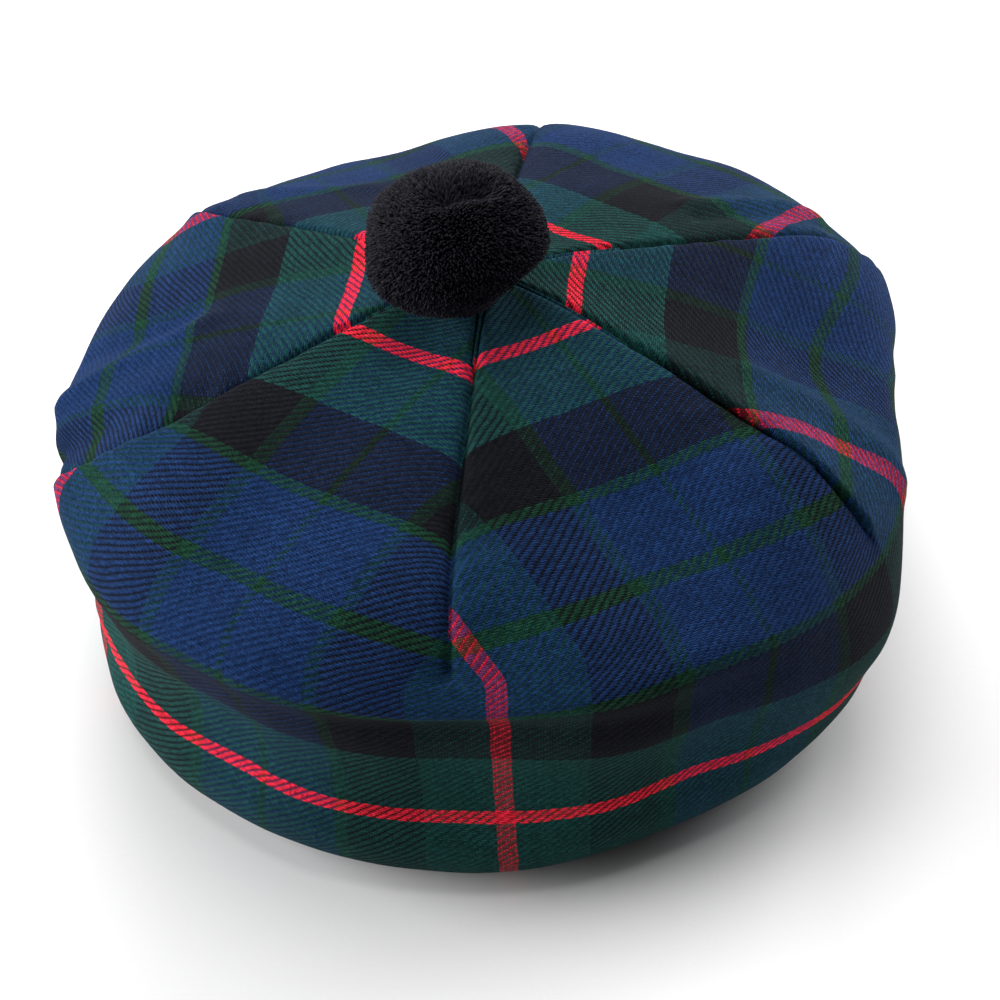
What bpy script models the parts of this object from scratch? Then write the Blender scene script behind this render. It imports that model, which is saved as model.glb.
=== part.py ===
"""A tam o'shanter: a round bonnet sewn from one strip of tartan, with a folded headband and a pompom.

Six darts run from the upper edge of the strip to the middle of the top, so the top has six wedge
panels. Past the end of each dart the cloth runs on whole: over the rim, down the side and in
underneath to the head opening. The bonnet lies by itself on its underside.

Metres, +Z up. The origin is on the ground, under the middle of the bonnet's outline. -Y is the front.
"""

import math
from collections import namedtuple

import bmesh
import bpy
import numpy as np

MM = 0.001

# Driving dimensions, in millimetres
HEIGHT = 130.0  # from the ground to the middle of the top
CLOTH = 1.8  # thickness of the tartan cloth
GAP = 0.5  # between pieces that touch
CLOTH_TO_GROUND = 238.0  # along the cloth, from the middle of the top to where it meets the ground
OPENING_RADIUS = 93.0
MIDDLE_OF_TOP = (1.5, -12.5)  # where the darts meet, seen from above
LEAN = (-5.0, 1.5)  # how far the rim's own centre lies from there

BAND_THICKNESS = 3.0
BAND_HEIGHT = 30.0

POMPOM_RADIUS = 25.0
POMPOM_HALF_HEIGHT = 20.0
POMPOM_FROM_MIDDLE = (-6.0, -14.0)
POMPOM_CENTRE_Z = 148.8

# Facets
COLUMNS_A_PANEL = 11
ROW_STEP = 9.5
UNDERSIDE_ROWS = 4
ROUND_STEPS = 66
FOLD_STEPS = 4

# How steeply the cloth falls, in degrees, by the distance along it from the middle of the top
FALL = (
    # along the cloth, on a panel's middle line, along a seam
    (0, 10, 5),
    (50, 10, 5),
    (90, 22, 10),
    (118, 20, 50),
    (135, 33, 80),
    (146, 95, 90),
    (168, 110, 95),
    (200, 75, 95),
    (238, 170, 170),
)
SEAM_LENGTH = 1.0 / math.cos(math.radians(30.0))  # of a wedge's side, for each unit of its middle line
DART_ENDS = (115, 140)  # where along the cloth that difference runs out

# Where along the cloth each change of the shape starts and is done, or passes away
LEAN_GROWS = (0, 100)
SUNK_GROWS = (14, 90)
SUNK_ENDS = (112, 147)
CORNER_ROUNDS = (85, 135)
HOLLOW_WIDENS = (95, 130)
BEND_GROWS = (86, 130)
OUT_GROWS = (60, 125)
OUT_ENDS = (180, 230)
TUCK_GROWS = (125, 147)
TUCK_ENDS = (150, 178)
FLARE_GROWS = (165, 187)
FLARE_ENDS = (195, 223)
CORNER_FROM = 0.2  # the part of a panel's half width that its middle keeps to itself

# One row for each seam, from the front one, anticlockwise seen from above: its azimuth; how many degrees
# that changes by past its dart; how far its corner of the rim stands out; how deep it is sunk; by how
# many degrees the cloth below its corner tucks in under the rim and flares out again
Seam = namedtuple("Seam", "azimuth bend out sunk tuck flare")
SEAMS = (
    Seam(-95, 0, -8, 13, 12, -10),
    Seam(-38, 0, -5, 9, -18, 15),
    Seam(19, 0, 4, 8, 0, 0),
    Seam(78, 0, 18, 11, 0, 0),
    Seam(141, -5, 0, 7, 0, 0),
    Seam(203, -5, -8, 14, 8, -9),
)

# One row for the panel before each seam: how far its middle is puffed up; how far its rim stands out;
# its tuck and flare
Panel = namedtuple("Panel", "puff out tuck flare")
PANELS = (
    Panel(-3, 2, 9, -14),
    Panel(-3, 2, -6, 3),
    Panel(-3, -8, 2, -3),
    Panel(4, 15, 0, 0),
    Panel(0, 9, 0, 0),
    Panel(0, -4, 4, -3),
)


def ease(value, start, end):
    """A smooth step from 0 at start to 1 at end."""
    t = np.clip((value - start) / (end - start), 0.0, 1.0)
    return t * t * (3.0 - 2.0 * t)


def between(value, grows, ends):
    """0 before grows, 1 from there to ends, and 0 again past it."""
    return ease(value, *grows) * (1.0 - ease(value, *ends))


def section(column, tuck, flare, seam):
    """(along, radius, drop): the section down a panel's middle (column 1) or down a seam (column 2)."""
    rows = np.array(FALL, float)
    along = np.arange(0.0, CLOTH_TO_GROUND + 1.0)
    fall = np.interp(along, rows[:, 0], rows[:, column])
    fall += tuck * between(along, TUCK_GROWS, TUCK_ENDS) + flare * between(along, FLARE_GROWS, FLARE_ENDS)
    # Up to its dart's end a seam is longer than the panel's middle line, as the side of a wedge is.
    stretch = 1.0 + (SEAM_LENGTH - 1.0) * (1.0 - ease(along, *DART_ENDS)) * seam
    step = along[1] - along[0]

    def summed(rate):
        return np.concatenate([[0.0], np.cumsum((rate[:-1] + rate[1:]) * step / 2.0)])

    drop = summed(np.sin(np.radians(fall)) * stretch)
    return along, summed(np.cos(np.radians(fall)) * stretch), drop * HEIGHT / drop[-1]


PANEL_SECTIONS = [section(1, panel.tuck, panel.flare, 0.0) for panel in PANELS]
SEAM_SECTIONS = [section(2, seam.tuck, seam.flare, 1.0) for seam in SEAMS]


def cloth_point(panel, across, along):
    """A point of the outer surface, in mm: across runs from -1 to 1 between the panel's two seams."""
    before, after, own = SEAMS[panel - 1], SEAMS[panel], PANELS[panel]
    nearest = before if across < 0.0 else after
    turn = (after.azimuth - before.azimuth) % 360.0

    # On the top the panels meet in creases. Past the darts the corners are round.
    side = abs(across)
    edge = side**2 * (1.0 + ease(along, *CORNER_ROUNDS) * 2.0 * (1.0 - side))
    middle = 1.0 - edge
    near_seam = ease(side, CORNER_FROM, 1.0)
    bend = nearest.bend * near_seam * ease(along, *BEND_GROWS)
    azimuth = math.radians(before.azimuth + turn * (across + 1.0) / 2.0 + bend)
    on_top = between(along, SUNK_GROWS, SUNK_ENDS)
    at_rim = between(along, OUT_GROWS, OUT_ENDS)

    middle_section, seam_section = PANEL_SECTIONS[panel], SEAM_SECTIONS[SEAMS.index(nearest)]
    radius = middle * np.interp(along, *middle_section[:2]) + edge * np.interp(along, *seam_section[:2])
    radius += (nearest.out * near_seam + own.out * middle) * at_rim
    drop = middle * np.interp(along, *middle_section[::2]) + edge * np.interp(along, *seam_section[::2])
    hollow = side**3 * (1.0 + ease(along, *HOLLOW_WIDENS) * 3.0 * (1.0 - side))
    drop += (nearest.sunk * hollow - own.puff * middle) * on_top
    lean = ease(along, *LEAN_GROWS)
    return (
        MIDDLE_OF_TOP[0] + LEAN[0] * lean + radius * math.cos(azimuth),
        MIDDLE_OF_TOP[1] + LEAN[1] * lean + radius * math.sin(azimuth),
        max(HEIGHT - drop, 0.0),
    )


def opening_centre():
    return MIDDLE_OF_TOP[0] + LEAN[0], MIDDLE_OF_TOP[1] + LEAN[1]


def opening_point(azimuth):
    x, y = opening_centre()
    return x + OPENING_RADIUS * math.cos(azimuth), y + OPENING_RADIUS * math.sin(azimuth), 0.0


def column_points(panel, across):
    """The outer surface along one column, from just off the middle of the top to the head opening."""
    rows = round(CLOTH_TO_GROUND / ROW_STEP)
    points = [cloth_point(panel, across, CLOTH_TO_GROUND * i / rows) for i in range(1, rows + 1)]
    x, y = opening_centre()
    start = points[-1]
    end = opening_point(math.atan2(start[1] - y, start[0] - x))
    for i in range(1, UNDERSIDE_ROWS + 1):
        part = i / UNDERSIDE_ROWS
        points.append(tuple(a + (b - a) * part for a, b in zip(start, end)))
    return points


def new_material(name, colour, roughness):
    material = bpy.data.materials.new(name)
    material.use_nodes = True
    shader = material.node_tree.nodes["Principled BSDF"]
    shader.inputs["Base Color"].default_value = (*colour, 1.0)
    shader.inputs["Roughness"].default_value = roughness
    shader.inputs["Metallic"].default_value = 0.0
    return material


def add_object(name, mesh, material, collection):
    obj = bpy.data.objects.new(name, mesh)
    mesh.materials.append(material)
    collection.objects.link(obj)
    mesh.shade_smooth()
    mesh.set_sharp_from_angle(angle=math.radians(50))
    return obj


def make_crown(collection):
    """The cloth's outer surface, a loft of columns round the hat, thickened inwards."""
    shape = bmesh.new()
    middle = shape.verts.new((MIDDLE_OF_TOP[0] * MM, MIDDLE_OF_TOP[1] * MM, HEIGHT * MM))
    columns = []
    for panel in range(len(PANELS)):
        for i in range(COLUMNS_A_PANEL):
            across = 2.0 * i / COLUMNS_A_PANEL - 1.0
            columns.append([shape.verts.new([c * MM for c in p]) for p in column_points(panel, across)])
    for here, there in zip(columns, columns[1:] + columns[:1]):
        shape.faces.new((middle, here[0], there[0]))
        for row in range(len(here) - 1):
            shape.faces.new((here[row], here[row + 1], there[row + 1], there[row]))
    mesh = bpy.data.meshes.new("crown")
    shape.to_mesh(mesh)
    shape.free()
    obj = add_object("crown", mesh, new_material("tartan twill", (0.010, 0.030, 0.062), 0.9), collection)
    cloth = obj.modifiers.new("cloth", "SOLIDIFY")
    cloth.thickness = CLOTH * MM
    cloth.offset = -1.0
    return obj


def make_headband(collection):
    """A strip folded double and standing inside the head opening: its section, turned about the middle."""
    outer = OPENING_RADIUS - GAP
    fold = BAND_THICKNESS / 2.0
    section = [(outer, BAND_HEIGHT - fold), (outer, 0.0), (outer - BAND_THICKNESS, 0.0)]
    for i in range(FOLD_STEPS + 1):
        turn = math.pi * (1.0 - i / (FOLD_STEPS + 1))
        reach = outer - fold + fold * math.cos(turn)
        section.append((reach, BAND_HEIGHT - fold + fold * math.sin(turn)))
    mesh = bpy.data.meshes.new("headband")
    shape = bmesh.new()
    points = [shape.verts.new((x * MM, 0.0, z * MM)) for x, z in section]
    for a, b in zip(points, points[1:] + points[:1]):
        shape.edges.new((a, b))
    shape.to_mesh(mesh)
    shape.free()
    obj = add_object("headband", mesh, new_material("band twill", (0.010, 0.022, 0.024), 0.9), collection)
    x, y = opening_centre()
    obj.location = (x * MM, y * MM, 0.0)
    turned = obj.modifiers.new("turned", "SCREW")
    turned.steps = ROUND_STEPS
    turned.render_steps = ROUND_STEPS
    turned.use_merge_vertices = True
    turned.merge_threshold = 0.0001
    return obj


def make_toorie(collection):
    """The pompom's outer form: a ball a little flatter than it is wide."""
    bpy.ops.mesh.primitive_uv_sphere_add(segments=28, ring_count=16, radius=POMPOM_RADIUS * MM)
    obj = bpy.context.object
    obj.name = "toorie"
    obj.data.name = "toorie"
    obj.scale.z = POMPOM_HALF_HEIGHT / POMPOM_RADIUS
    bpy.ops.object.transform_apply(location=False, rotation=False, scale=True)
    obj.location = (
        (MIDDLE_OF_TOP[0] + POMPOM_FROM_MIDDLE[0]) * MM,
        (MIDDLE_OF_TOP[1] + POMPOM_FROM_MIDDLE[1]) * MM,
        POMPOM_CENTRE_Z * MM,
    )
    obj.data.shade_smooth()
    obj.data.materials.append(new_material("black yarn", (0.012, 0.012, 0.014), 0.95))
    for other in obj.users_collection:
        other.objects.unlink(obj)
    collection.objects.link(obj)
    return obj


def main():
    for obj in list(bpy.data.objects):
        bpy.data.objects.remove(obj)
    collection = bpy.data.collections.new("tam_o_shanter")
    bpy.context.scene.collection.children.link(collection)
    make_crown(collection)
    make_headband(collection)
    make_toorie(collection)


main()
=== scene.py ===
"""A tam o'shanter: the looks of a round tartan bonnet with a folded headband and a pompom.

The bonnet is sewn from one strip of tartan. Six darts run from the strip's upper edge to the middle of
the top. Past a dart's end the cloth runs on whole: over the rim, down the side and in underneath to
the head opening. Each point of the crown is found on the strip as (across, along) of its panel, and
the same place on the flat strip, in millimetres, is its UV. The tartan is woven there, thread by thread.
"""

import math
import random
from collections import namedtuple

import bmesh
import bpy
import numpy as np
from bpy.props import FloatProperty, FloatVectorProperty, IntProperty, PointerProperty
from mathutils import Matrix, Vector, noise


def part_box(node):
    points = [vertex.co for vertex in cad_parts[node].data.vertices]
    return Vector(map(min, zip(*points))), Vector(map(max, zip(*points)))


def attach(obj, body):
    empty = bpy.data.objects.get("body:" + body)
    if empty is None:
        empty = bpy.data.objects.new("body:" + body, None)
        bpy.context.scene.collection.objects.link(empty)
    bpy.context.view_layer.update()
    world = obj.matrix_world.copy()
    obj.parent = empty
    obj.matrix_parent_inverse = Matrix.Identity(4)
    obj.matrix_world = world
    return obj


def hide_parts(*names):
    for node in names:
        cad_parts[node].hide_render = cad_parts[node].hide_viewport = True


bl_info = {
    "name": "Tam o'shanter",
    "version": (1, 0, 0),
    "blender": (4, 5, 0),
    "location": "3D View > Sidebar > Bonnet",
    "description": "Makes a tartan tam o'shanter with its headband, pompom and studio",
    "category": "Add Mesh",
}

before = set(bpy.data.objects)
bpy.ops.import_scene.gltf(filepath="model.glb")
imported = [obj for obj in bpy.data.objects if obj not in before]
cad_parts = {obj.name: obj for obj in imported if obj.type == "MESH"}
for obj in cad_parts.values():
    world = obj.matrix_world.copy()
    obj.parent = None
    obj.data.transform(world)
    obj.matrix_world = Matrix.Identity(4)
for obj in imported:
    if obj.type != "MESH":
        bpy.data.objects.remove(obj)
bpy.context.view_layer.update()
MM = 0.001


# ---- The bonnet's shape, in millimetres and degrees

MIDDLE_OF_TOP = (1.5, -12.5)
CLOTH_TO_GROUND = 238.0  # along the cloth, from the middle of the top to where it meets the ground
UNDERSIDE = 10.0  # from there to the head opening
OPENING_RADIUS = 93.0
SETT = 155.0  # one repeat of the tartan

# The sett, from the middle of one red line to the middle of the next: each stripe's colour, and how many
# threads of it there are in the warp and in the weft, which is beaten closer
SETT_THREADS = (
    ("red", 3.0, 3.5),
    ("green", 27.0, 41.0),
    ("black", 27.0, 41.0),
    ("line", 5.0, 7.0),
    ("blue", 28.0, 42.0),
    ("line", 4.0, 7.0),
    ("blue", 28.0, 42.0),
    ("line", 5.0, 7.0),
    ("black", 27.0, 41.0),
    ("green", 27.0, 41.0),
    ("red", 3.0, 3.5),
)

HEIGHT = 130.0  # from the ground to the middle of the top
LEAN = (-5.0, 1.5)  # how far the rim's own centre lies from the middle of the top
RED_LINE = 36.0  # along the cloth, from the middle of the top to the red line that v is counted from

# How steeply the cloth falls, in degrees, by the distance along it from the middle of the top
FALL = (
    # along the cloth, on a panel's middle line, along a seam
    (0, 10, 5),
    (50, 10, 5),
    (90, 22, 10),
    (118, 20, 50),
    (135, 33, 80),
    (146, 95, 90),
    (168, 110, 95),
    (200, 75, 95),
    (238, 170, 170),
)
SEAM_LENGTH = 1.0 / math.cos(math.radians(30.0))  # of a wedge's side, for each unit of its middle line
DART_ENDS = (115, 140)  # where along the cloth that difference runs out

# Where along the cloth each change of the shape starts and is done, or passes away
LEAN_GROWS = (0, 100)
SUNK_GROWS = (14, 90)
SUNK_ENDS = (112, 147)
CORNER_ROUNDS = (85, 135)
HOLLOW_WIDENS = (95, 130)
BEND_GROWS = (86, 130)
OUT_GROWS = (60, 125)
OUT_ENDS = (180, 230)
TUCK_GROWS = (125, 147)
TUCK_ENDS = (150, 178)
FLARE_GROWS = (165, 187)
FLARE_ENDS = (195, 223)
HEXAGON_ENDS = (0, 115)
CORNER_FROM = 0.2  # the part of a panel's half width that its middle keeps to itself
DART_BLUNT = 0.94  # the part of a dart's length over which it narrows evenly

# One row for each seam, from the front one, anticlockwise seen from above: its azimuth; how many degrees
# that changes by past its dart; how far its corner of the rim stands out; how deep it is sunk; by how
# many degrees the cloth below its corner tucks in under the rim and flares out again; how long its dart
# is; how far past the dart's end, round the strip, the upright red line runs
Seam = namedtuple("Seam", "azimuth bend out sunk tuck flare dart to_red")
SEAMS = (
    Seam(-95, 0, -8, 13, 12, -10, 129, 13),
    Seam(-38, 0, -5, 9, -18, 15, 136, 28),
    Seam(19, 0, 4, 8, 0, 0, 146, 36),
    Seam(78, 0, 18, 11, 0, 0, 129, 26),
    Seam(141, -5, 0, 7, 0, 0, 120, 16),
    Seam(203, -8, -8, 14, 8, -9, 141, 10),
)

# One row for the panel before each seam: how far its middle is puffed up; how far its rim stands out;
# its tuck and flare; how far down its hexagon's red line lies; how far its tip is shifted on the strip
Panel = namedtuple("Panel", "puff out tuck flare hexagon shift")
PANELS = (
    Panel(-3, 2, 9, -14, 38, -6),
    Panel(-3, 2, -6, 3, 34, 20),
    Panel(-3, -8, 2, -3, 26, 0),
    Panel(4, 15, 0, 0, 35, 4),
    Panel(0, 9, 0, 0, 43, 0),
    Panel(0, -4, 4, -3, 39, -4),
)

# ---- The cloth beside a seam, in millimetres

CREASE_DEPTH = 1.7
CREASE_HALF_WIDTH = 1.1
CREASE_ENDS = (-12, -4)  # counted from the dart's end
ROLL_HEIGHT = 0.7  # of the cloth that stands up beside the crease
ROLL_FROM_SEAM = 4.0
ROLL_GROWS = (10, 30)
PUCKER_HEIGHT = 0.35  # of the short puckers that the stitches pull
PUCKER_LENGTHS = (9.0, 23.0)
PUCKER_REACH = 9.0
PUCKER_GROWS = (25, 60)

# Where the cloth on one side of a seam bulges over it: the seam's place in SEAMS, the side that bulges
# (-1 the panel before it, 1 the panel after it), how far it reaches over, and how far out it stands
OVERHANGS = (
    (1, 1, 1.8, 1.3),
    (2, -1, 1.0, 1.0),
    (4, 1, 1.0, 1.0),
    (5, 1, 1.6, 1.5),
)
OVERHANG_GROWS = (35, 80)
OVERHANG_ENDS = (-14, 6)  # counted from the dart's end
OVERHANG_LIP = 1.8  # from the seam to where the bulge is full
OVERHANG_BACK = 12.0  # from there to where it has mostly died away
OVERHANG_PULL = 8.0  # how far off the cloth that bulges is drawn along
UNDER_HOLLOW = 8.0  # how far off the cloth on the other side is sunk
UNDER_PULL = 5.0  # and how far off it is drawn along

# ---- Folds on the panels

# Folds, ridges and, where the height is negative, furrows: the panel; where each starts and ends, as
# (across, along); its height at either end; its half width
FOLDS = (
    # The rim's sharp roll at the front, and the hollow under it
    (0, (-0.30, 141), (1.00, 138), 0.3, 2.0, 5),
    (1, (-1.00, 138), (0.30, 141), 2.0, 0.6, 5),
    (0, (-0.30, 154), (1.00, 151), -0.6, -2.4, 6),
    (1, (-1.00, 151), (0.30, 154), -2.4, -0.8, 6),
    # The dimple at the end of the front dart
    (0, (0.85, 117), (1.00, 120), -0.4, -2.6, 3.5),
    (1, (-1.00, 120), (-0.96, 117), -2.6, -0.6, 3.5),
    # Beside the left seam
    (5, (0.92, 78), (0.76, 100), -2.0, -1.5, 4),
    (5, (0.82, 108), (0.86, 155), -2.5, -4.0, 9),
    (0, (-0.94, 140), (-0.92, 185), 0.6, 2.5, 9),
    # At the back
    (3, (-0.52, 79), (-0.73, 115), 1.6, 1.2, 4),
    (3, (-0.70, 76), (-0.88, 115), -1.6, -1.2, 4),
    # Soft swells and furrows of the other panels
    (5, (0.18, 82), (0.32, 135), 2.2, 2.6, 6),
    (5, (-0.05, 92), (0.02, 130), -1.5, -1.5, 6),
    (4, (0.10, 83), (0.73, 107), 1.2, 1.0, 5),
    (2, (-0.47, 86), (-0.55, 139), 1.6, 1.6, 6),
    (2, (-0.45, 141), (0.20, 147), 0.8, 2.6, 12),
)
UNEVENNESS = ((0.9, 38.0), (0.35, 15.0))  # height and size of the cloth's soft bumps
UNEVENNESS_APART = 500.0  # between the places in the noise that they are read from
UNEVENNESS_GROWS = (10, 40)
UNEVENNESS_ENDS = (215, 236)

# ---- The headband, in millimetres

BAND_INSET = 0.05  # from the space that its CAD solid holds
BAND_FOLD_RADIUS = 1.55
BAND_FOLD_STEPS = 6
BAND_ROW_HEIGHT = 2.4
BAND_WAVE = 0.25  # how far it stands out of round
BAND_ON_SETT = 90.0  # where on the tartan its lower edge is cut

# ---- The pompom, by direction from its middle

# Where it bulges or is short: the direction, how much, as a share of its size, and over what angle
POMPOM_LOBES = (
    ((-0.9, 0.3, 0.3), 0.12, 0.5),
    ((-0.8, -0.4, -0.45), 0.17, 0.5),
    ((0.65, -0.5, -0.6), -0.20, 0.45),
    ((0.8, 0.4, 0.45), -0.06, 0.4),
)
PARTING = ((-0.2, -0.3, 0.95), (0.3, -0.15, 0.95))  # the ends of the parting over the tie
PARTING_DEPTH = 0.26
PARTING_WIDTH = 0.17
PARTING_SPLAY = 0.5  # how much the yarn on either side leans away from the parting
SPLAY_WIDTH = 0.35
CORE_SIZE = 0.88  # of the mass of yarn under the ends, as a share of the pompom's; it is painted in the yarn's darkest root shade
YARN_ROOT = 0.7  # a yarn end's width at its root and at its tip, as a share of its middle's
YARN_TIP = 0.75
YARN_DOME = 0.04  # how far its cut end is domed, as a share of its length
YARN_WIDTHS = (0.8, 1.25)  # of the thinnest and the thickest end, as a share of the usual one's
YARN_SCATTER = 0.014  # how far the ends stand out of their even places
YARN_LEAN = 0.22  # and out of line
YARN_SHORTEST = 0.955  # the shortest end's reach, as a share of the longest one's

# ---- The photograph's view, in millimetres and degrees

CAMERA_ELEVATION = 42.0
CAMERA_DISTANCE = 510.0
CAMERA_TARGET = (0.0, 0.0, 38.0)  # from the ground under the middle of the top
CAMERA_ROLL = -3.6
CAMERA_LENS = 55.3

# The studio's lights: name, place in metres, power in watts
LIGHTS = (
    ("left_softbox", (-1.35, 0.0, 0.45), 31.0),
    ("right_softbox", (1.1, 0.75, 0.55), 20.0),
    ("back_softbox", (0.0, 1.2, 0.8), 10.0),
    ("top_softbox", (0.0, 0.1, 1.5), 13.0),
)
LIGHTS_AIM = (0.0, 0.0, 0.08)
LIGHTS_WIDTH = 1.1
WORLD_STRENGTH = 0.06
FLOOR_WIDTH = 6.0


def ease(value, start, end):
    """A smooth step from 0 at start to 1 at end."""
    t = np.clip((value - start) / (end - start), 0.0, 1.0)
    return t * t * (3.0 - 2.0 * t)


def between(value, grows, ends):
    """0 before grows, 1 from there to ends, and 0 again past it."""
    return ease(value, *grows) * (1.0 - ease(value, *ends))


def section(column, tuck, flare, seam):
    """(along, radius, drop) down a panel's middle line (column 1) or down a seam (column 2)."""
    rows = np.array(FALL, float)
    along = np.arange(0.0, CLOTH_TO_GROUND + 1.0)
    fall = np.interp(along, rows[:, 0], rows[:, column])
    fall += tuck * between(along, TUCK_GROWS, TUCK_ENDS) + flare * between(along, FLARE_GROWS, FLARE_ENDS)
    # Up to its dart's end a seam is longer than the panel's middle line, as the side of a wedge is.
    stretch = 1.0 + (SEAM_LENGTH - 1.0) * (1.0 - ease(along, *DART_ENDS)) * seam
    step = along[1] - along[0]

    def summed(rate):
        return np.concatenate([[0.0], np.cumsum((rate[:-1] + rate[1:]) * step / 2.0)])

    drop = summed(np.sin(np.radians(fall)) * stretch)
    return along, summed(np.cos(np.radians(fall)) * stretch), drop * HEIGHT / drop[-1]


def opening_centre():
    return MIDDLE_OF_TOP[0] + LEAN[0], MIDDLE_OF_TOP[1] + LEAN[1]


def cloth_form(panel, across, along):
    """Points of the cloth's outer side, in mm, without its creases and folds."""
    before, after, own = SEAMS[panel - 1], SEAMS[panel], PANELS[panel]
    turn = (after.azimuth - before.azimuth) % 360.0
    azimuth = np.radians(before.azimuth + turn * (across + 1.0) / 2.0)

    def of_seams(name):
        return np.where(across < 0.0, getattr(before, name), getattr(after, name))

    # On the top the panels meet in creases. Past the darts the corners are round.
    side = np.abs(across)
    edge = side**2 * (1.0 + ease(along, *CORNER_ROUNDS) * 2.0 * (1.0 - side))
    middle = 1.0 - edge
    near_seam = ease(side, CORNER_FROM, 1.0)
    azimuth += np.radians(of_seams("bend")) * near_seam * ease(along, *BEND_GROWS)
    on_top = between(along, SUNK_GROWS, SUNK_ENDS)
    at_rim = between(along, OUT_GROWS, OUT_ENDS)

    mid = section(1, own.tuck, own.flare, 0.0)
    ends = [section(2, seam.tuck, seam.flare, 1.0) for seam in (before, after)]
    seam_radius = np.where(across < 0.0, *(np.interp(along, *end[:2]) for end in ends))
    seam_drop = np.where(across < 0.0, *(np.interp(along, *end[::2]) for end in ends))
    radius = middle * np.interp(along, *mid[:2]) + edge * seam_radius
    radius += (of_seams("out") * near_seam + own.out * middle) * at_rim
    drop = middle * np.interp(along, *mid[::2]) + edge * seam_drop
    hollow = side**3 * (1.0 + ease(along, *HOLLOW_WIDENS) * 3.0 * (1.0 - side))
    drop += (of_seams("sunk") * hollow - own.puff * middle) * on_top
    lean = ease(along, *LEAN_GROWS)
    x = MIDDLE_OF_TOP[0] + LEAN[0] * lean + radius * np.cos(azimuth)
    y = MIDDLE_OF_TOP[1] + LEAN[1] * lean + radius * np.sin(azimuth)
    z = np.maximum(HEIGHT - drop, 0.0)

    # Past the ground line the cloth lies flat and runs in to the head opening.
    under = np.clip((along - CLOTH_TO_GROUND) / UNDERSIDE, 0.0, 1.0)
    cx, cy = opening_centre()
    reach = np.hypot(x - cx, y - cy)
    shrink = 1.0 + under * (OPENING_RADIUS / reach - 1.0)
    x = cx + (x - cx) * shrink
    y = cy + (y - cy) * shrink
    return np.stack([x, y, z], -1)


def on_strip(panel, across, along):
    """The same points on the flat strip: (u round the bonnet, v down from the red line), in mm."""
    before, after, own = SEAMS[panel - 1], SEAMS[panel], PANELS[panel]

    def opened(part_of_dart):
        """How far the dart has let the cloth out, from 0 at the middle of the top to 1 past its end."""
        slope = 2.0 / (1.0 + DART_BLUNT)
        end = slope / 2.0 / (1.0 - DART_BLUNT)
        rest = 1.0 - np.minimum(part_of_dart, 1.0)
        return np.where(part_of_dart < DART_BLUNT, slope * part_of_dart, 1.0 - end * rest**2)

    tip = (SETT - before.to_red - after.to_red) / 2.0 + own.shift
    left = tip + (-before.to_red - tip) * opened(along / before.dart)
    right = tip + (SETT - after.to_red - tip) * opened(along / after.dart)
    u = left + (right - left) * (across + 1.0) / 2.0
    v = along - RED_LINE - (own.hexagon - RED_LINE) * (1.0 - ease(along, *HEXAGON_ENDS))
    return u, v, left, right


# ---- Creases, puckers and folds on the form


def relief(panel, along, u, left, right):
    """How far the cloth stands out from its form, in mm, and how far it is pulled sideways."""
    out = np.zeros_like(along)
    pull = np.zeros_like(along)
    short, long = (along * 2.0 * math.pi / PUCKER_LENGTHS[0], along / PUCKER_LENGTHS[1])
    for side, distance, seam in (
        (-1, u - left, SEAMS[panel - 1]),
        (1, right - u, SEAMS[panel]),
    ):
        sewn = 1.0 - ease(along - seam.dart, *CREASE_ENDS)
        out -= CREASE_DEPTH * np.exp(-((distance / CREASE_HALF_WIDTH) ** 2)) * sewn
        roll = distance / ROLL_FROM_SEAM
        out += ROLL_HEIGHT * roll * np.exp(1.0 - roll) * sewn * ease(along, *ROLL_GROWS)
        wave = np.sin(short + 1.7 * panel + side) * np.sin(long + panel)
        beside = np.exp(-distance / PUCKER_REACH) * ease(distance, 0.0, 3.0)
        out += PUCKER_HEIGHT * wave * beside * sewn * ease(along, *PUCKER_GROWS)
    for seam_index, side, reach, height in OVERHANGS:
        before_end = 1.0 - ease(along - SEAMS[seam_index].dart, *OVERHANG_ENDS)
        sewn = ease(along, *OVERHANG_GROWS) * before_end
        over, under = ((seam_index + 1) % len(SEAMS), seam_index)[::side]
        distance = {1: u - left, -1: right - u}
        if panel == over:
            past = 1.0 - np.exp(-((distance[side] / OVERHANG_LIP) ** 2))
            bulge = past * np.exp(-distance[side] / OVERHANG_BACK)
            out += height * (bulge - 0.5 * (1.0 - past)) * sewn
            drawn = past * np.exp(-distance[side] / OVERHANG_PULL)
            pull += side * reach * (1.0 - past - drawn) * sewn
        elif panel == under:
            out -= 0.5 * height * np.exp(-((distance[-side] / UNDER_HOLLOW) ** 2)) * sewn
            pull += side * reach * np.exp(-distance[-side] / UNDER_PULL) * sewn
    for owner, start, end, first, last, half_width in FOLDS:
        if owner != panel:
            continue
        ends = [on_strip(panel, *(np.array(float(k)) for k in point)) for point in (start, end)]
        (u0, *_), (u1, *_) = ends
        length = math.hypot(u1 - u0, end[1] - start[1])
        part = ((u - u0) * (u1 - u0) + (along - start[1]) * (end[1] - start[1])) / length**2
        part = np.clip(part, 0.0, 1.0)
        off_line = along - start[1] - part * (end[1] - start[1])
        off = np.hypot(u - u0 - part * (u1 - u0), off_line)
        out += (first + part * (last - first)) * np.exp(-((off / half_width) ** 2))
    return out, pull


def soft_noise(points, size):
    """Smooth bumps about size mm across, from -1 to 1."""
    shape = points.shape[:-1]
    values = [noise.noise(Vector(p)) for p in (points.reshape(-1, 3) / size)]
    return np.array(values).reshape(shape)


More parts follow.
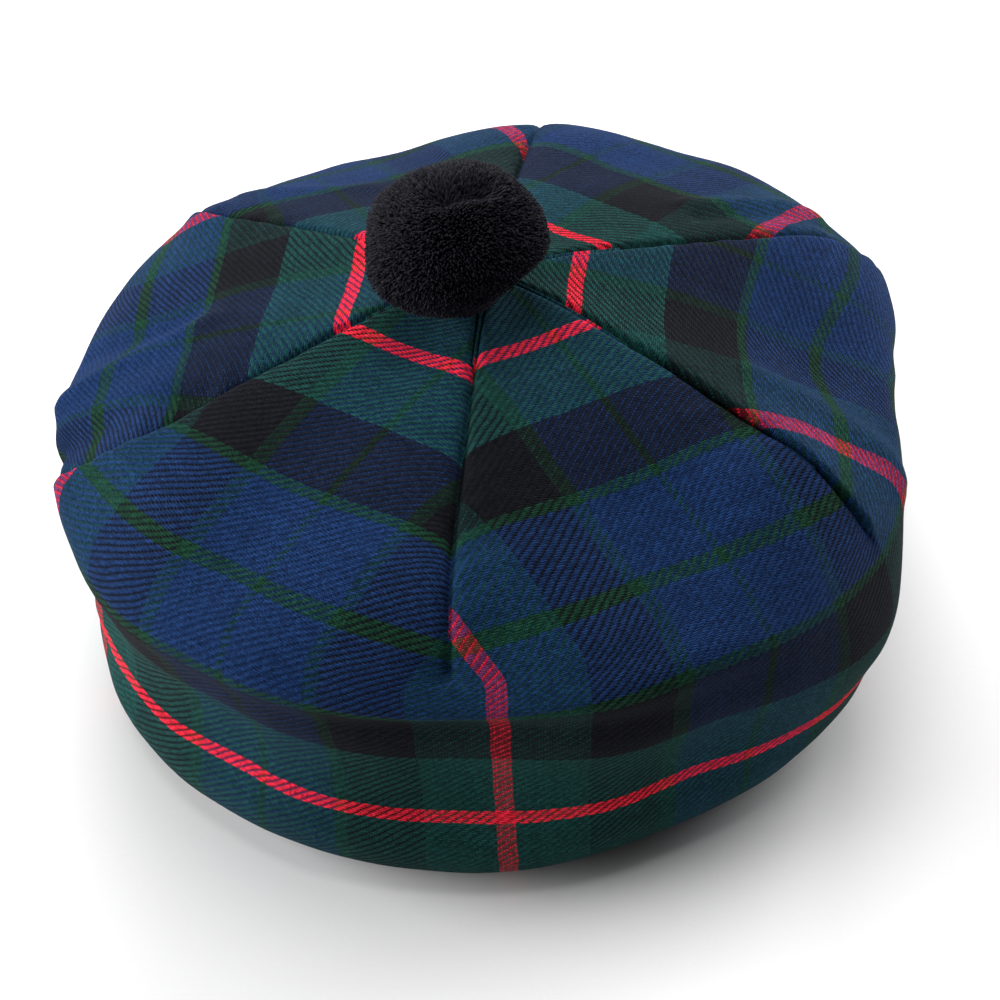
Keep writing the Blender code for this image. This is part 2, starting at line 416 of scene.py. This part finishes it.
def crown_grid(columns, rows):
    """(points, strips) over the whole crown: points[row, column], and (u, v) for each panel's columns."""
    spread = np.linspace(-1.0, 1.0, columns + 1)
    # The columns stand closer near the seams
    across_line = np.sign(spread) * (1.0 - (1.0 - np.abs(spread)) ** 1.5)
    along_line = np.linspace(0.0, CLOTH_TO_GROUND + UNDERSIDE, rows + 1)[1:]
    across, along = np.meshgrid(across_line, along_line)
    forms, strips, outs, pulls = [], [], [], []
    for panel in range(len(PANELS)):
        u, v, left, right = on_strip(panel, across, along)
        out, pull = relief(panel, along, u, left, right)
        # A panel's last column is the next one's first
        forms.append(cloth_form(panel, across, along)[:, :-1])
        outs.append(out[:, :-1])
        pulls.append(pull[:, :-1])
        strips.append((u, v))
    form, out, pull = (np.concatenate(parts, axis=1) for parts in (forms, outs, pulls))

    # Outward normals and sideways directions, from the form's neighbours
    sideways = np.roll(form, -1, axis=1) - np.roll(form, 1, axis=1)
    down = np.gradient(form, axis=0)
    normal = np.cross(down, sideways)
    normal /= np.linalg.norm(normal, axis=2, keepdims=True)
    sideways /= np.linalg.norm(sideways, axis=2, keepdims=True)

    free = between(along[:, :1], UNEVENNESS_GROWS, UNEVENNESS_ENDS)
    bumps = (
        height * soft_noise(form + UNEVENNESS_APART * k, size)
        for k, (height, size) in enumerate(UNEVENNESS)
    )
    out += sum(bumps) * free
    points = form + normal * out[..., None] + sideways * pull[..., None]
    points[..., 2] = np.maximum(points[..., 2], 0.0)
    return points, strips


# ---- Helpers


def linear(colour):
    """An sRGB hex colour as linear red, green and blue."""
    channels = [int(colour[i : i + 2], 16) / 255.0 for i in (1, 3, 5)]
    return tuple(c / 12.92 if c <= 0.04045 else ((c + 0.055) / 1.055) ** 2.4 for c in channels)


def add_node(tree, kind, sockets=None, **settings):
    """Adds a node with its settings. Each socket, by name or number, is given a value or a link."""
    node = tree.nodes.new(kind)
    for name, value in settings.items():
        setattr(node, name, value)
    for name, value in (sockets or {}).items():
        if isinstance(name, str):
            socket = next(s for s in node.inputs if s.enabled and s.name == name)
        else:
            socket = node.inputs[name]
        if isinstance(value, bpy.types.NodeSocket):
            tree.links.new(value, socket)
        else:
            socket.default_value = value
    return next(s for s in node.outputs if s.enabled)


def new_material(name):
    """(material, tree, Principled shader) of an empty material."""
    material = bpy.data.materials.new(name)
    material.use_nodes = True
    tree = material.node_tree
    return material, tree, tree.nodes["Principled BSDF"]


def deselect_all():
    for obj in bpy.context.selected_objects:
        obj.select_set(False)


def new_piece(name, points, faces, material):
    """A smooth mesh object from points in mm and faces."""
    mesh = bpy.data.meshes.new(name)
    mesh.from_pydata((np.asarray(points) * MM).tolist(), [], faces)
    mesh.materials.append(material)
    obj = bpy.data.objects.new(name, mesh)
    bpy.context.scene.collection.objects.link(obj)
    mesh.shade_smooth()
    return obj


def thicken(obj, thickness):
    """Gives a sheet its cloth's thickness, inwards, and keeps it above the ground."""
    deselect_all()
    obj.select_set(True)
    bpy.context.view_layer.objects.active = obj
    cloth = obj.modifiers.new("cloth", "SOLIDIFY")
    cloth.thickness = thickness * MM
    cloth.offset = -1.0
    bpy.ops.object.modifier_apply(modifier=cloth.name)
    for vert in obj.data.vertices:
        vert.co.z = max(vert.co.z, 0.0)


# ---- Materials


def wool_twill(cloth):
    """Wool kilt cloth, woven in 2/2 twill: a matt, slightly hairy face with fine slanting ribs, bumped
    and also painted with shade.

    u runs along the weft and v along the warp, in mm. Each thread has one colour of the sett. A weft
    thread passes over two warps and under two, and each next one does so one warp further along.
    """
    material, tree, shader = new_material("wool_twill_tartan")
    warps, wefts = (sum(row[k] for row in SETT_THREADS) for k in (1, 2))
    uv = add_node(tree, "ShaderNodeUVMap", uv_map="strip")
    # Threads wander a little
    add_node(tree, "ShaderNodeTexNoise", {"Vector": uv, "Scale": 0.12, "Detail": 2.0})
    wander = tree.nodes[-1].outputs["Color"]
    half = (0.5, 0.5, 0.5)
    wander = add_node(tree, "ShaderNodeVectorMath", {0: wander, 1: half}, operation="SUBTRACT")
    wander = add_node(tree, "ShaderNodeVectorMath", {0: wander, "Scale": 1.2}, operation="SCALE")
    place = add_node(tree, "ShaderNodeVectorMath", {0: uv, 1: wander}, operation="ADD")
    # In threads; a weft thread lies on v = 0, and u = 0 falls between two warps
    per_mm = (warps / cloth.sett, wefts / cloth.sett, 0.0)
    threads = add_node(
        tree,
        "ShaderNodeVectorMath",
        {0: place, 1: per_mm, 2: (0.0, 0.5, 0.0)},
        operation="MULTIPLY_ADD",
    )
    number = add_node(tree, "ShaderNodeVectorMath", {0: threads}, operation="FLOOR")
    within = add_node(tree, "ShaderNodeVectorMath", {0: threads}, operation="FRACTION")
    add_node(tree, "ShaderNodeSeparateXYZ", {0: threads})
    x, y = tree.nodes[-1].outputs[:2]
    add_node(tree, "ShaderNodeSeparateXYZ", {0: number})
    warp, weft = tree.nodes[-1].outputs[:2]
    add_node(tree, "ShaderNodeSeparateXYZ", {0: within})
    across_warp, across_weft = tree.nodes[-1].outputs[:2]

    # How far from the middle of the weft's float, and of the warp's, in threads. A float repeats after
    # four threads, and each next thread's starts one further along.
    floats = []
    for position, thread, shift in ((x, weft, 1.0), (y, warp, -1.0)):
        off = add_node(tree, "ShaderNodeMath", {0: position, 1: thread}, operation="ADD")
        off = add_node(tree, "ShaderNodeMath", {0: off, 1: shift}, operation="ADD")
        floats.append(add_node(tree, "ShaderNodeMath", {0: off, 1: 2.0}, operation="PINGPONG"))
    along_weft, along_warp = floats
    warp_up = add_node(
        tree, "ShaderNodeMath", {0: along_weft, 1: cloth.weft_reach}, operation="GREATER_THAN"
    )

    # The sett, one colour for each thread
    colours = []
    for thread, column, middle, total in ((warp, 1, 0.5, warps), (weft, 2, 0.0, wefts)):
        repeat = add_node(tree, "ShaderNodeMath", {0: thread, 1: middle}, operation="ADD")
        repeat = add_node(tree, "ShaderNodeMath", {0: repeat, 1: float(total)}, operation="DIVIDE")
        repeat = add_node(tree, "ShaderNodeMath", {0: repeat}, operation="FRACT")
        stripe = add_node(tree, "ShaderNodeValToRGB", {0: repeat})
        ramp = tree.nodes[-1].color_ramp
        ramp.interpolation = "CONSTANT"
        ramp.elements.remove(ramp.elements[-1])
        at = 0.0
        for row in SETT_THREADS:
            stop = ramp.elements.new(at / total) if at else ramp.elements[0]
            stop.color = (*getattr(cloth, row[0]), 1.0)
            at += row[column]
        # No two threads took the dye alike
        shade = add_node(tree, "ShaderNodeMath", {0: thread, 1: column * 1000.0}, operation="ADD")
        shade = add_node(tree, "ShaderNodeTexWhiteNoise", {"W": shade}, noise_dimensions="1D")
        shade = add_node(tree, "ShaderNodeMapRange", {0: shade, 3: 0.86, 4: 1.14})
        dyed = {0: stripe, "Scale": shade}
        colours.append(add_node(tree, "ShaderNodeVectorMath", dyed, operation="SCALE"))
    # Hairs of the thread beneath show through the one on top
    blend = cloth.blend
    showing = add_node(tree, "ShaderNodeMapRange", {0: warp_up, 3: blend, 4: 1.0 - blend})
    mixed = {"Factor": showing, "A": colours[1], "B": colours[0]}
    colour = add_node(tree, "ShaderNodeMix", mixed, data_type="VECTOR")

    # How round the thread on top is there, across and along
    across = add_node(tree, "ShaderNodeMix", {"Factor": warp_up, "A": across_weft, "B": across_warp})
    across = add_node(tree, "ShaderNodeMath", {0: across, 1: math.pi}, operation="MULTIPLY")
    across = add_node(tree, "ShaderNodeMath", {0: across}, operation="SINE")
    along_weft = add_node(
        tree, "ShaderNodeMath", {0: along_weft, 1: cloth.weft_reach}, operation="DIVIDE"
    )
    along = add_node(tree, "ShaderNodeMix", {"Factor": warp_up, "A": along_weft, "B": along_warp})
    along = add_node(tree, "ShaderNodeMath", {0: along, 1: math.pi / 2.0}, operation="MULTIPLY")
    along = add_node(tree, "ShaderNodeMath", {0: along}, operation="COSINE")
    height = {0: across, 1: along}
    height = add_node(tree, "ShaderNodeMath", height, operation="MULTIPLY", use_clamp=True)
    height = add_node(tree, "ShaderNodeMath", {0: height, 1: 0.5}, operation="POWER")

    # Fibres: a mottle in each float, finer fibres in that, and a broader unevenness of the dye; and
    # painted shade, darker between the threads and on the warp floats, which lie lower
    mottle = add_node(tree, "ShaderNodeTexWhiteNoise", {"Vector": number}, noise_dimensions="2D")
    fine = {"Vector": uv, "Scale": 2.6, "Detail": 2.0, "Roughness": 0.7}
    fibres = add_node(tree, "ShaderNodeTexNoise", fine)
    broad = add_node(tree, "ShaderNodeTexNoise", {"Vector": uv, "Scale": 0.05, "Detail": 3.0})
    factor = add_node(tree, "ShaderNodeMapRange", {0: fibres, 1: 0.25, 2: 0.75, 3: 0.45, 4: 1.55})
    for amount, low, high in (
        (mottle, 0.65, 1.35),
        # painted shade between the threads, down to hollow
        (height, cloth.hollow, 1.0),
        # painted shade on the warp floats, which lie lower
        (warp_up, 1.1, 0.8),
    ):
        amount = add_node(tree, "ShaderNodeMapRange", {0: amount, 3: low, 4: high})
        factor = add_node(tree, "ShaderNodeMath", {0: factor, 1: amount}, operation="MULTIPLY")
    broad = add_node(tree, "ShaderNodeMapRange", {0: broad, 1: 0.3, 2: 0.7, 3: 0.92, 4: 1.08})
    factor = add_node(tree, "ShaderNodeMath", {0: factor, 1: broad}, operation="MULTIPLY")
    colour = add_node(tree, "ShaderNodeVectorMath", {0: colour, "Scale": factor}, operation="SCALE")
    tree.links.new(colour, shader.inputs["Base Color"])

    relief_height = add_node(tree, "ShaderNodeMath", {0: fibres, 1: 0.35}, operation="MULTIPLY")
    relief_height = add_node(tree, "ShaderNodeMath", {0: relief_height, 1: height}, operation="ADD")
    bump = add_node(
        tree,
        "ShaderNodeBump",
        {"Height": relief_height, "Strength": 0.8, "Distance": cloth.thread_relief * MM},
    )
    tree.links.new(bump, shader.inputs["Normal"])
    shader.inputs["Roughness"].default_value = 0.9
    shader.inputs["Specular IOR Level"].default_value = 0.05
    shader.inputs["Sheen Weight"].default_value = cloth.nap
    shader.inputs["Sheen Roughness"].default_value = 0.5
    shader.inputs["Sheen Tint"].default_value = (*linear("#c9d2dc"), 1.0)
    return material


def cut_yarn(pompom):
    """Black wool yarn, cut: soft matt tufts, with painted shade that darkens each towards its root."""
    material, tree, shader = new_material("cut_wool_yarn")
    add_node(tree, "ShaderNodeAttribute", attribute_name="tuft", attribute_type="GEOMETRY")
    tuft = tree.nodes[-1]
    add_node(tree, "ShaderNodeSeparateXYZ", {0: tuft.outputs["Vector"]})
    along, shade = tree.nodes[-1].outputs[:2]
    add_node(tree, "ShaderNodeTexCoord")
    fine = {"Vector": tree.nodes[-1].outputs["Object"], "Scale": 2600.0, "Detail": 2.0}
    fibres = add_node(tree, "ShaderNodeTexNoise", fine)
    # Painted shade: each yarn end darker towards its root, where the other ends shade it
    light = add_node(tree, "ShaderNodeMapRange", {0: along, 1: 0.45, 2: 1.0, 3: 0.28, 4: 1.0})
    shade = add_node(tree, "ShaderNodeMapRange", {0: shade, 3: 0.6, 4: 1.5})
    mottle = add_node(tree, "ShaderNodeMapRange", {0: fibres, 1: 0.3, 2: 0.7, 3: 0.6, 4: 1.4})
    factor = add_node(tree, "ShaderNodeMath", {0: light, 1: shade}, operation="MULTIPLY")
    factor = add_node(tree, "ShaderNodeMath", {0: factor, 1: mottle}, operation="MULTIPLY")
    colour = add_node(
        tree, "ShaderNodeVectorMath", {0: tuple(pompom.colour), "Scale": factor}, operation="SCALE"
    )
    tree.links.new(colour, shader.inputs["Base Color"])
    shader.inputs["Roughness"].default_value = 0.9
    shader.inputs["Specular IOR Level"].default_value = 0.08
    shader.inputs["Sheen Weight"].default_value = 0.05
    shader.inputs["Sheen Roughness"].default_value = 0.5
    return material


def studio_paper():
    """Matt white background paper, with only the faintest grain."""
    material, tree, shader = new_material("matt_white_paper")
    add_node(tree, "ShaderNodeTexCoord")
    coordinates = tree.nodes[-1].outputs["Object"]
    grain = add_node(tree, "ShaderNodeTexNoise", {"Vector": coordinates, "Scale": 900.0, "Detail": 3.0})
    bump = add_node(tree, "ShaderNodeBump", {"Height": grain, "Strength": 0.05, "Distance": 0.05 * MM})
    tree.links.new(bump, shader.inputs["Normal"])
    paler, darker = ((*linear(colour), 1.0) for colour in ("#fafafa", "#f6f6f6"))
    tint = add_node(tree, "ShaderNodeMix", {"Factor": grain, "A": darker, "B": paler}, data_type="RGBA")
    tree.links.new(tint, shader.inputs["Base Color"])
    shader.inputs["Roughness"].default_value = 0.95
    shader.inputs["Specular IOR Level"].default_value = 0.1
    return material


# ---- Settings


class ClothSettings(bpy.types.PropertyGroup):
    """The tartan and how it is woven."""

    thickness: FloatProperty(
        name="Thickness", description="Thickness of the cloth, in mm", default=1.4, min=0.5
    )
    sett: FloatProperty(
        name="Sett", description="Width of one repeat of the tartan's threads, in mm", default=SETT
    )
    weft_reach: FloatProperty(
        name="Weft reach", description="Half of a weft thread's float, in warp threads", default=1.42
    )
    thread_relief: FloatProperty(
        name="Relief", description="How far a thread stands up, in mm", default=0.35
    )
    # Painted shade: how dark the colour is between two threads, against a thread's top
    hollow: FloatProperty(
        name="Hollow", description="Brightness between two threads, against a thread's top", default=0.4
    )
    blend: FloatProperty(
        name="Blend", description="How much of the thread beneath shows", default=0.14, min=0.0, max=0.5
    )
    nap: FloatProperty(
        name="Nap", description="How much light the hairs on the face scatter", default=0.02
    )
    green: FloatVectorProperty(
        name="Green", description="The wide green stripe", subtype="COLOR", default=linear("#184542")
    )
    line: FloatVectorProperty(
        name="Fine green", description="The lines in the blue", subtype="COLOR", default=linear("#173e2c")
    )
    blue: FloatVectorProperty(
        name="Blue", description="The wide blue stripe", subtype="COLOR", default=linear("#193461")
    )
    black: FloatVectorProperty(
        name="Black", description="The black stripe", subtype="COLOR", default=linear("#16171d")
    )
    red: FloatVectorProperty(
        name="Red", description="The red overcheck", subtype="COLOR", default=linear("#fb2a42")
    )


class CrownSettings(bpy.types.PropertyGroup):
    """How finely the crown is divided."""

    columns: IntProperty(
        name="Columns", description="Columns of faces in each panel", default=50, min=8
    )
    rows: IntProperty(
        name="Rows", description="Rows of faces from top to head opening", default=145, min=20
    )


class HeadbandSettings(bpy.types.PropertyGroup):
    """The folded band round the head opening."""

    steps: IntProperty(name="Steps", description="Faces round the band", default=264, min=24)


class PompomSettings(bpy.types.PropertyGroup):
    """The cut-yarn pompom."""

    tufts: IntProperty(
        name="Tufts", description="How many yarn ends it has", default=12000, min=100
    )
    tuft_width: FloatProperty(
        name="Tuft width", description="Thickness of a yarn end, in mm", default=0.8
    )
    tuft_length: FloatProperty(
        name="Tuft length", description="How much of a yarn end is made, in mm", default=6.0
    )
    colour: FloatVectorProperty(
        name="Colour", description="The yarn's colour", subtype="COLOR", default=linear("#1c1c24")
    )


# ---- Pieces


class BONNET_OT_crown(bpy.types.Operator):
    """The crown: the tartan body with its six panels, creases, rim, side and underside."""

    bl_idname = "bonnet.crown"
    bl_label = "Make the crown"

    def execute(self, context):
        settings, cloth = context.scene.bonnet_crown, context.scene.bonnet_cloth
        columns, rows = settings.columns, settings.rows
        points, strips = crown_grid(columns, rows)
        around = len(PANELS) * columns
        verts = np.concatenate([[(*MIDDLE_OF_TOP, HEIGHT)], points.reshape(-1, 3)])
        faces, corners = [], []
        for column in range(around):
            panel, own = divmod(column, columns)
            next_column = (column + 1) % around
            u, v = strips[panel]
            tip = [float(k[0]) for k in on_strip(panel, np.zeros(1), np.zeros(1))[:2]]
            faces.append((0, 1 + column, 1 + next_column))
            corners += [tip, (u[0, own], v[0, own]), (u[0, own + 1], v[0, own + 1])]
            for row in range(rows - 1):
                here = 1 + row * around
                below = here + around
                faces.append((here + column, below + column, below + next_column, here + next_column))
                for r, c in ((row, own), (row + 1, own), (row + 1, own + 1), (row, own + 1)):
                    corners.append((u[r, c] + panel * SETT, v[r, c]))
        crown = new_piece("crown_cloth", verts, faces, wool_twill(cloth))
        strip = crown.data.uv_layers.new(name="strip")
        strip.data.foreach_set("uv", np.array(corners, np.float32).ravel())
        thicken(crown, cloth.thickness)
        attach(crown, "root")
        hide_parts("crown")
        return {"FINISHED"}


class BONNET_OT_headband(bpy.types.Operator):
    """The headband: a strip of the same cloth, folded double along its upper edge."""

    bl_idname = "bonnet.headband"
    bl_label = "Make the headband"

    def execute(self, context):
        cloth = context.scene.bonnet_cloth
        steps = context.scene.bonnet_headband.steps
        low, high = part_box("headband")
        cx, cy = (low.x + high.x) / 2.0 / MM, (low.y + high.y) / 2.0 / MM
        outer = (high.x - low.x) / 2.0 / MM - BAND_INSET
        top = high.z / MM
        fold_z = top - BAND_FOLD_RADIUS
        # The section of the cloth's outer face: up the outside, over the fold and down the inside
        profile = [(outer, 0.0)]
        profile += [(outer, fold_z - BAND_ROW_HEIGHT * k) for k in range(5, 0, -1)]
        for k in range(BAND_FOLD_STEPS + 1):
            turn = math.pi * k / BAND_FOLD_STEPS
            reach = outer - BAND_FOLD_RADIUS + BAND_FOLD_RADIUS * math.cos(turn)
            profile.append((reach, fold_z + BAND_FOLD_RADIUS * math.sin(turn)))
        profile += [(outer - 2.0 * BAND_FOLD_RADIUS, fold_z * (5 - k) / 6.0) for k in range(6)]
        lengths = [0.0]
        for a, b in zip(profile, profile[1:]):
            lengths.append(lengths[-1] + math.dist(a, b))
        count = len(profile)
        verts, faces, corners = [], [], []
        for step in range(steps):
            turn = 2.0 * math.pi * step / steps
            for reach, z in profile:
                wave = math.sin(3.0 * turn + 0.7) * math.sin(math.pi * min(z / top, 1.0))
                reach += BAND_WAVE * wave
                verts.append((cx + reach * math.cos(turn), cy + reach * math.sin(turn), z))
        round_it = 2.0 * math.pi * outer
        for step in range(steps):
            here, there = step * count, (step + 1) % steps * count
            for k in range(count - 1):
                faces.append((here + k, there + k, there + k + 1, here + k + 1))
                for s, r in ((step, k), (step + 1, k), (step + 1, k + 1), (step, k + 1)):
                    corners.append((s / steps * round_it, BAND_ON_SETT + lengths[r]))
        band = new_piece("headband_cloth", verts, faces, wool_twill(cloth))
        strip = band.data.uv_layers.new(name="strip")
        strip.data.foreach_set("uv", np.array(corners, np.float32).ravel())
        thicken(band, cloth.thickness)
        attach(band, "root")
        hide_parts("headband")
        return {"FINISHED"}


def pompom_reach(direction):
    """How far the pompom's cut ends lie from its middle, as a share of its ellipsoid, by direction."""
    reach = 1.0 + 0.04 * noise.noise(direction * 2.3 + Vector((3.0, 1.0, 2.0)))
    for lobe, height, width in POMPOM_LOBES:
        reach += height * math.exp(-((Vector(lobe).angle(direction) / width) ** 2))
    return reach - PARTING_DEPTH * math.exp(-((parting_angle(direction) / PARTING_WIDTH) ** 2))


def parting_angle(direction):
    """The angle between a direction and the nearest part of the parting."""
    start, end = (Vector(point) for point in PARTING)
    along = (end - start).dot(direction - start) / (end - start).length_squared
    return (start + (end - start) * min(max(along, 0.0), 1.0)).angle(direction)


class BONNET_OT_pompom(bpy.types.Operator):
    """The pompom: thousands of cut yarn ends that stand out from where they are tied."""

    bl_idname = "bonnet.pompom"
    bl_label = "Make the pompom"

    def execute(self, context):
        settings = context.scene.bonnet_pompom
        low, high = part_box("toorie")
        centre = (low + high) / 2.0 / MM
        size = (high - low) / 2.0 / MM
        material = cut_yarn(settings)
        chance = random.Random(7)

        # One yarn end, modelled once: a three-sided column, a little thicker below its blunt cut end
        deselect_all()
        bpy.ops.mesh.primitive_cylinder_add(vertices=3, radius=0.5, depth=1.0, end_fill_type="NOTHING")
        pattern = bpy.context.object
        bpy.ops.object.mode_set(mode="EDIT")
        shape = bmesh.from_edit_mesh(pattern.data)
        for edge in shape.edges:
            edge.select_set(abs((edge.verts[0].co - edge.verts[1].co).z) > 0.5)
        bmesh.update_edit_mesh(pattern.data)
        bpy.ops.mesh.subdivide(number_cuts=1)
        bpy.ops.object.mode_set(mode="OBJECT")
        yarn = [v.co.copy() for v in pattern.data.vertices]
        yarn_faces = [tuple(p.vertices) for p in pattern.data.polygons]
        bpy.data.objects.remove(pattern)
        ring = [k for k, co in enumerate(yarn) if co.z > 0.45]
        ring.sort(key=lambda k: math.atan2(yarn[k].y, yarn[k].x))
        yarn.append(Vector((0.0, 0.0, 0.5 + YARN_DOME)))
        yarn_faces += [(ring[k], ring[(k + 1) % 3], len(yarn) - 1) for k in range(3)]
        local = np.array([tuple(co) for co in yarn])
        along = np.minimum(local[:, 2] + 0.5, 1.0)
        local[:, :2] *= np.where(along > 0.9, YARN_TIP, np.where(along > 0.4, 1.0, YARN_ROOT))[:, None]

        # A yarn end for each place on the ball. They are tied in the middle and splay as they come out.
        golden = math.pi * (3.0 - math.sqrt(5.0))
        verts, faces, tufts = [], [], []
        for k in range(settings.tufts):
            z = 1.0 - 2.0 * (k + 0.5) / settings.tufts
            flat = math.sqrt(1.0 - z * z)
            scatter = Vector([chance.uniform(-1.0, 1.0) for _ in range(3)])
            direction = Vector((flat * math.cos(golden * k), flat * math.sin(golden * k), z))
            direction = (direction + scatter * YARN_SCATTER).normalized()
            reach = pompom_reach(direction)
            reach *= chance.uniform(YARN_SHORTEST, 1.0)
            end = Vector(a * b for a, b in zip(direction, size)) * reach
            away = direction - Vector(PARTING[0]).normalized()
            splay = PARTING_SPLAY * math.exp(-((parting_angle(direction) / SPLAY_WIDTH) ** 2))
            lean = Vector([chance.uniform(-1.0, 1.0) for _ in range(3)]) * YARN_LEAN
            stem = (end.normalized() + away.normalized() * splay + lean).normalized()
            spin = Matrix.Rotation(chance.uniform(0.0, 3.0), 3, "Z")
            turn = stem.to_track_quat("Z", "Y").to_matrix() @ spin
            width = settings.tuft_width * chance.uniform(*YARN_WIDTHS)
            scaled = (local - (0.0, 0.0, 0.5)) * (width, width, settings.tuft_length)
            faces.extend(tuple(len(verts) + i for i in face) for face in yarn_faces)
            verts.extend((scaled @ np.array(turn).T + np.array(centre + end)).tolist())
            # Each end's place along it, which the yarn's painted root shade reads, and a random tone of
            # its own
            shade = chance.random()
            tufts.extend((a, shade, 0.0) for a in along)
        pompom = new_piece("pompom_yarn", verts, faces, material)
        tuft = pompom.data.attributes.new("tuft", "FLOAT_VECTOR", "POINT")
        tuft.data.foreach_set("vector", np.array(tufts, np.float32).ravel())

        # The dark yarn's mass under the ends. It has no tuft attribute, so it is painted in the yarn's
        # darkest root shade.
        deselect_all()
        bpy.ops.mesh.primitive_ico_sphere_add(subdivisions=5, radius=1.0)
        core = bpy.context.object
        core.name = core.data.name = "pompom_core"
        for vert in core.data.vertices:
            reach = pompom_reach(vert.co.normalized()) * CORE_SIZE
            vert.co = (Vector(a * b for a, b in zip(vert.co, size)) * reach + centre) * MM
        core.data.materials.append(material)
        core.data.shade_smooth()
        for piece in (pompom, core):
            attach(piece, "root")
        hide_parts("toorie")
        return {"FINISHED"}


class BONNET_OT_stage(bpy.types.Operator):
    """The studio: a pale floor, soft lights and the camera."""

    bl_idname = "bonnet.stage"
    bl_label = "Make the studio"

    def execute(self, context):
        deselect_all()
        bpy.ops.mesh.primitive_plane_add(size=FLOOR_WIDTH, location=(0.0, 0.0, 0.0))
        floor = bpy.context.object
        floor.name = "floor"
        floor.data.materials.append(studio_paper())

        for name, place, power in LIGHTS:
            bpy.ops.object.light_add(type="AREA", location=place)
            light = bpy.context.object
            light.name = name
            light.data.shape = "DISK"
            light.data.size = LIGHTS_WIDTH
            light.data.energy = power
            towards = Vector(LIGHTS_AIM) - Vector(place)
            light.rotation_euler = towards.to_track_quat("-Z", "Y").to_euler()

        world = context.scene.world or bpy.data.worlds.new("soft_white")
        context.scene.world = world
        world.use_nodes = True
        sky = world.node_tree.nodes["Background"]
        sky.inputs["Color"].default_value = (*linear("#ffffff"), 1.0)
        sky.inputs["Strength"].default_value = WORLD_STRENGTH
        context.scene.view_settings.view_transform = "Standard"

        elevation = math.radians(CAMERA_ELEVATION)
        back = Vector((0.0, -math.cos(elevation), math.sin(elevation)))
        target = Vector((*MIDDLE_OF_TOP, 0.0)) + Vector(CAMERA_TARGET)
        bpy.ops.object.camera_add(location=(target + back * CAMERA_DISTANCE) * MM)
        camera = bpy.context.object
        tilt = Matrix.Rotation(math.pi / 2.0 - elevation, 3, "X")
        camera.rotation_euler = (tilt @ Matrix.Rotation(math.radians(CAMERA_ROLL), 3, "Z")).to_euler()
        camera.data.lens = CAMERA_LENS
        camera.data.sensor_width = 36.0
        camera.data.clip_start = 0.01
        context.scene.camera = camera
        return {"FINISHED"}


class BONNET_PT_panel(bpy.types.Panel):
    """The bonnet's pieces and settings."""

    bl_idname = "BONNET_PT_panel"
    bl_label = "Tam o'shanter"
    bl_space_type = "VIEW_3D"
    bl_region_type = "UI"
    bl_category = "Bonnet"

    def draw(self, context):
        for operator in OPERATORS:
            self.layout.operator(operator.bl_idname)
        for name in SETTINGS:
            box = self.layout.box()
            group = getattr(context.scene, name)
            for prop in group.bl_rna.properties:
                if prop.identifier not in ("rna_type", "name"):
                    box.prop(group, prop.identifier)


SETTINGS = {
    "bonnet_cloth": ClothSettings,
    "bonnet_crown": CrownSettings,
    "bonnet_headband": HeadbandSettings,
    "bonnet_pompom": PompomSettings,
}
OPERATORS = (BONNET_OT_stage, BONNET_OT_crown, BONNET_OT_headband, BONNET_OT_pompom)


def register():
    for cls in (*SETTINGS.values(), *OPERATORS, BONNET_PT_panel):
        bpy.utils.register_class(cls)
    for name, group in SETTINGS.items():
        setattr(bpy.types.Scene, name, PointerProperty(type=group))


def unregister():
    for name in SETTINGS:
        delattr(bpy.types.Scene, name)
    for cls in (BONNET_PT_panel, *reversed(OPERATORS), *reversed(SETTINGS.values())):
        bpy.utils.unregister_class(cls)


def main():
    register()
    bpy.ops.bonnet.stage()
    bpy.ops.bonnet.crown()
    bpy.ops.bonnet.headband()
    bpy.ops.bonnet.pompom()


if __name__ == "__main__":
    main()
